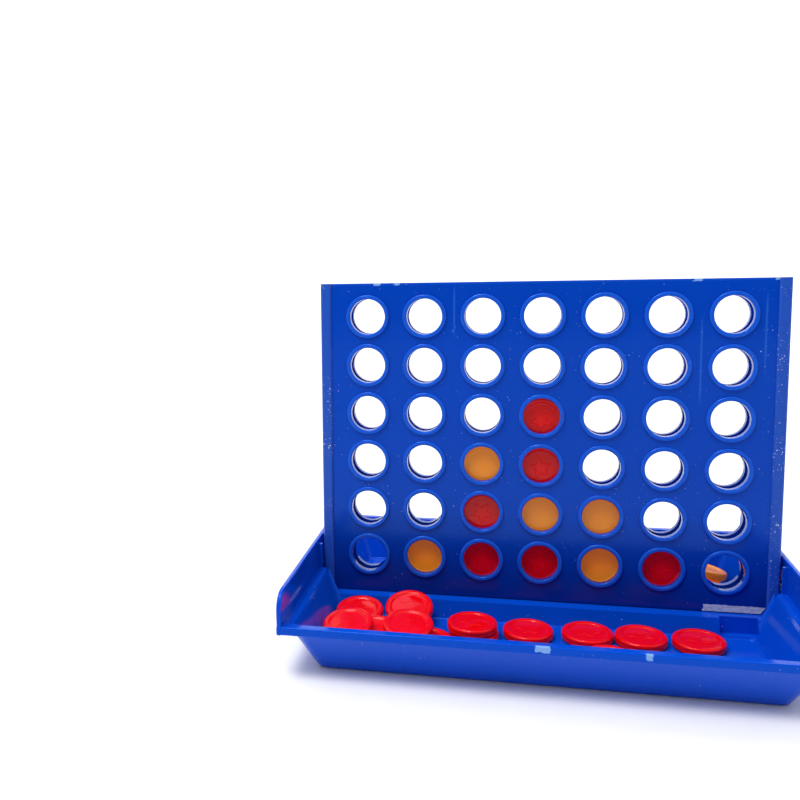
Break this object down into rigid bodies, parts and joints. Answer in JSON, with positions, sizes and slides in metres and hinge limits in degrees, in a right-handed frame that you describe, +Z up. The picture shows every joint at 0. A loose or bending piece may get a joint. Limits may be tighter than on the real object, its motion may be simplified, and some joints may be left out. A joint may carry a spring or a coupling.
{
  "type": "tabletop four in a row game",
  "caption": "Small plastic connect-a-line game: an upright board with round view holes stands on a two-tray base, with loose red and yellow discs.",
  "frame": {"origin": "on the surface it stands on, under the middle of the base", "axes": "+X along the board's width, +Y from the front tray to the rear tray, +Z up"},
  "size_m": [0.1592, 0.1148, 0.1192],
  "materials": {
    "blue_plastic": "glossy moulded",
    "rail_plastic": "fine texture",
    "red_plastic": "glossy moulded",
    "yellow_plastic": "glossy moulded"
  },
  "bodies": {
    "base": {"base": "blue_plastic"},
    "board": {"front_panel": "blue_plastic", "rear_panel": "blue_plastic", "left_side_rail": "rail_plastic", "right_side_rail": "rail_plastic", "divider_1": "blue_plastic", "divider_2": "blue_plastic", "divider_3": "blue_plastic", "divider_4": "blue_plastic", "divider_5": "blue_plastic", "divider_6": "blue_plastic"},
    "yellow_played_c2_r1": {"yellow_played_c2_r1": "yellow_plastic"},
    "red_played_c3_r1": {"red_played_c3_r1": "red_plastic"},
    "red_played_c3_r2": {"red_played_c3_r2": "red_plastic"},
    "yellow_played_c3_r3": {"yellow_played_c3_r3": "yellow_plastic"},
    "red_played_c4_r1": {"red_played_c4_r1": "red_plastic"},
    "yellow_played_c4_r2": {"yellow_played_c4_r2": "yellow_plastic"},
    "red_played_c4_r3": {"red_played_c4_r3": "red_plastic"},
    "red_played_c4_r4": {"red_played_c4_r4": "red_plastic"},
    "yellow_played_c5_r1": {"yellow_played_c5_r1": "yellow_plastic"},
    "yellow_played_c5_r2": {"yellow_played_c5_r2": "yellow_plastic"},
    "red_played_c6_r1": {"red_played_c6_r1": "red_plastic"},
    "red_tray_1": {"red_tray_1": "red_plastic"},
    "red_tray_2": {"red_tray_2": "red_plastic"},
    "red_tray_3": {"red_tray_3": "red_plastic"},
    "red_tray_4": {"red_tray_4": "red_plastic"},
    "red_tray_5": {"red_tray_5": "red_plastic"},
    "red_tray_6": {"red_tray_6": "red_plastic"},
    "red_tray_7": {"red_tray_7": "red_plastic"},
    "red_tray_8": {"red_tray_8": "red_plastic"},
    "red_tray_9": {"red_tray_9": "red_plastic"},
    "red_tray_10": {"red_tray_10": "red_plastic"},
    "red_tray_11": {"red_tray_11": "red_plastic"},
    "red_tray_12": {"red_tray_12": "red_plastic"},
    "red_tray_13": {"red_tray_13": "red_plastic"},
    "red_tray_14": {"red_tray_14": "red_plastic"},
    "red_tray_15": {"red_tray_15": "red_plastic"},
    "yellow_tray_1": {"yellow_tray_1": "yellow_plastic"},
    "yellow_tray_2": {"yellow_tray_2": "yellow_plastic"},
    "yellow_tray_3": {"yellow_tray_3": "yellow_plastic"},
    "yellow_tray_4": {"yellow_tray_4": "yellow_plastic"},
    "yellow_tray_5": {"yellow_tray_5": "yellow_plastic"},
    "yellow_tray_6": {"yellow_tray_6": "yellow_plastic"},
    "yellow_tray_7": {"yellow_tray_7": "yellow_plastic"},
    "yellow_tray_8": {"yellow_tray_8": "yellow_plastic"},
    "yellow_tray_9": {"yellow_tray_9": "yellow_plastic"},
    "yellow_tray_10": {"yellow_tray_10": "yellow_plastic"},
    "yellow_tray_11": {"yellow_tray_11": "yellow_plastic"},
    "yellow_tray_12": {"yellow_tray_12": "yellow_plastic"},
    "yellow_tray_13": {"yellow_tray_13": "yellow_plastic"},
    "yellow_tray_14": {"yellow_tray_14": "yellow_plastic"},
    "yellow_tray_15": {"yellow_tray_15": "yellow_plastic"},
    "yellow_tray_16": {"yellow_tray_16": "yellow_plastic"}
  },
  "joints": [
    {"name": "board_lift", "type": "slide", "parent": "base", "child": "board", "axis": [0, 0.0523, 0.9986], "range_m": [0, 0.115]},
    {"name": "yellow_played_c2_r1_lift", "type": "slide", "parent": "base", "child": "yellow_played_c2_r1", "axis": [0, 0.0523, 0.9986], "range_m": [0, 0.108]},
    {"name": "red_played_c3_r1_lift", "type": "slide", "parent": "base", "child": "red_played_c3_r1", "axis": [0, 0.0523, 0.9986], "range_m": [0, 0.108]},
    {"name": "red_played_c3_r2_lift", "type": "slide", "parent": "red_played_c3_r1", "child": "red_played_c3_r2", "axis": [0, 0.0523, 0.9986], "range_m": [0, 0.0914]},
    {"name": "yellow_played_c3_r3_lift", "type": "slide", "parent": "red_played_c3_r2", "child": "yellow_played_c3_r3", "axis": [0, 0.0523, 0.9986], "range_m": [0, 0.0747]},
    {"name": "red_played_c4_r1_lift", "type": "slide", "parent": "base", "child": "red_played_c4_r1", "axis": [0, 0.0523, 0.9986], "range_m": [0, 0.108]},
    {"name": "yellow_played_c4_r2_lift", "type": "slide", "parent": "red_played_c4_r1", "child": "yellow_played_c4_r2", "axis": [0, 0.0523, 0.9986], "range_m": [0, 0.0914]},
    {"name": "red_played_c4_r3_lift", "type": "slide", "parent": "yellow_played_c4_r2", "child": "red_played_c4_r3", "axis": [0, 0.0523, 0.9986], "range_m": [0, 0.0747]},
    {"name": "red_played_c4_r4_lift", "type": "slide", "parent": "red_played_c4_r3", "child": "red_played_c4_r4", "axis": [0, 0.0523, 0.9986], "range_m": [0, 0.0581]},
    {"name": "yellow_played_c5_r1_lift", "type": "slide", "parent": "base", "child": "yellow_played_c5_r1", "axis": [0, 0.0523, 0.9986], "range_m": [0, 0.108]},
    {"name": "yellow_played_c5_r2_lift", "type": "slide", "parent": "yellow_played_c5_r1", "child": "yellow_played_c5_r2", "axis": [0, 0.0523, 0.9986], "range_m": [0, 0.0914]},
    {"name": "red_played_c6_r1_lift", "type": "slide", "parent": "base", "child": "red_played_c6_r1", "axis": [0, 0.0523, 0.9986], "range_m": [0, 0.108]},
    {"name": "red_tray_1_lift", "type": "slide", "parent": "base", "child": "red_tray_1", "axis": [0, 0, 1], "range_m": [0, 0.04]},
    {"name": "red_tray_2_lift", "type": "slide", "parent": "red_tray_1", "child": "red_tray_2", "axis": [0, 0, 1], "range_m": [0, 0.04]},
    {"name": "red_tray_3_lift", "type": "slide", "parent": "red_tray_2", "child": "red_tray_3", "axis": [0, 0, 1], "range_m": [0, 0.04]},
    {"name": "red_tray_4_lift", "type": "slide", "parent": "red_tray_3", "child": "red_tray_4", "axis": [0, 0, 1], "range_m": [0, 0.04]},
    {"name": "red_tray_5_lift", "type": "slide", "parent": "red_tray_4", "child": "red_tray_5", "axis": [0, 0, 1], "range_m": [0, 0.04]},
    {"name": "red_tray_6_lift", "type": "slide", "parent": "red_tray_5", "child": "red_tray_6", "axis": [0, 0, 1], "range_m": [0, 0.04]},
    {"name": "red_tray_7_lift", "type": "slide", "parent": "base", "child": "red_tray_7", "axis": [0, 0, 1], "range_m": [0, 0.04]},
    {"name": "red_tray_8_lift", "type": "slide", "parent": "red_tray_7", "child": "red_tray_8", "axis": [0, 0, 1], "range_m": [0, 0.04]},
    {"name": "red_tray_9_lift", "type": "slide", "parent": "base", "child": "red_tray_9", "axis": [0, 0, 1], "range_m": [0, 0.04]},
    {"name": "red_tray_10_lift", "type": "slide", "parent": "base", "child": "red_tray_10", "axis": [0, 0, 1], "range_m": [0, 0.04]},
    {"name": "red_tray_11_lift", "type": "slide", "parent": "base", "child": "red_tray_11", "axis": [0, 0, 1], "range_m": [0, 0.04]},
    {"name": "red_tray_12_lift", "type": "slide", "parent": "base", "child": "red_tray_12", "axis": [0, 0, 1], "range_m": [0, 0.04]},
    {"name": "red_tray_13_lift", "type": "slide", "parent": "base", "child": "red_tray_13", "axis": [0, 0, 1], "range_m": [0, 0.04]},
    {"name": "red_tray_14_lift", "type": "slide", "parent": "base", "child": "red_tray_14", "axis": [0, 0, 1], "range_m": [0, 0.04]},
    {"name": "red_tray_15_lift", "type": "slide", "parent": "base", "child": "red_tray_15", "axis": [0, 0, 1], "range_m": [0, 0.04]},
    {"name": "yellow_tray_1_lift", "type": "slide", "parent": "base", "child": "yellow_tray_1", "axis": [0, 0, 1], "range_m": [0, 0.04]},
    {"name": "yellow_tray_2_lift", "type": "slide", "parent": "base", "child": "yellow_tray_2", "axis": [0, 0, 1], "range_m": [0, 0.04]},
    {"name": "yellow_tray_3_lift", "type": "slide", "parent": "base", "child": "yellow_tray_3", "axis": [0, 0, 1], "range_m": [0, 0.04]},
    {"name": "yellow_tray_4_lift", "type": "slide", "parent": "base", "child": "yellow_tray_4", "axis": [0, 0, 1], "range_m": [0, 0.04]},
    {"name": "yellow_tray_5_lift", "type": "slide", "parent": "base", "child": "yellow_tray_5", "axis": [0, 0, 1], "range_m": [0, 0.04]},
    {"name": "yellow_tray_6_lift", "type": "slide", "parent": "base", "child": "yellow_tray_6", "axis": [0, 0, 1], "range_m": [0, 0.04]},
    {"name": "yellow_tray_7_lift", "type": "slide", "parent": "base", "child": "yellow_tray_7", "axis": [0, 0, 1], "range_m": [0, 0.04]},
    {"name": "yellow_tray_8_lift", "type": "slide", "parent": "base", "child": "yellow_tray_8", "axis": [0, 0, 1], "range_m": [0, 0.04]},
    {"name": "yellow_tray_9_lift", "type": "slide", "parent": "base", "child": "yellow_tray_9", "axis": [0, 0, 1], "range_m": [0, 0.04]},
    {"name": "yellow_tray_10_lift", "type": "slide", "parent": "base", "child": "yellow_tray_10", "axis": [0, 0, 1], "range_m": [0, 0.04]},
    {"name": "yellow_tray_11_lift", "type": "slide", "parent": "base", "child": "yellow_tray_11", "axis": [0, 0, 1], "range_m": [0, 0.04]},
    {"name": "yellow_tray_12_lift", "type": "slide", "parent": "base", "child": "yellow_tray_12", "axis": [0, 0, 1], "range_m": [0, 0.04]},
    {"name": "yellow_tray_13_lift", "type": "slide", "parent": "base", "child": "yellow_tray_13", "axis": [0, 0, 1], "range_m": [0, 0.04]},
    {"name": "yellow_tray_14_lift", "type": "slide", "parent": "base", "child": "yellow_tray_14", "axis": [0, 0, 1], "range_m": [0, 0.04]},
    {"name": "yellow_tray_15_lift", "type": "slide", "parent": "base", "child": "yellow_tray_15", "axis": [0, 0, 1], "range_m": [0, 0.04]},
    {"name": "yellow_tray_16_lift", "type": "slide", "parent": "yellow_tray_15", "child": "yellow_tray_16", "axis": [0, 0, 1], "range_m": [0, 0.04]}
  ]
}
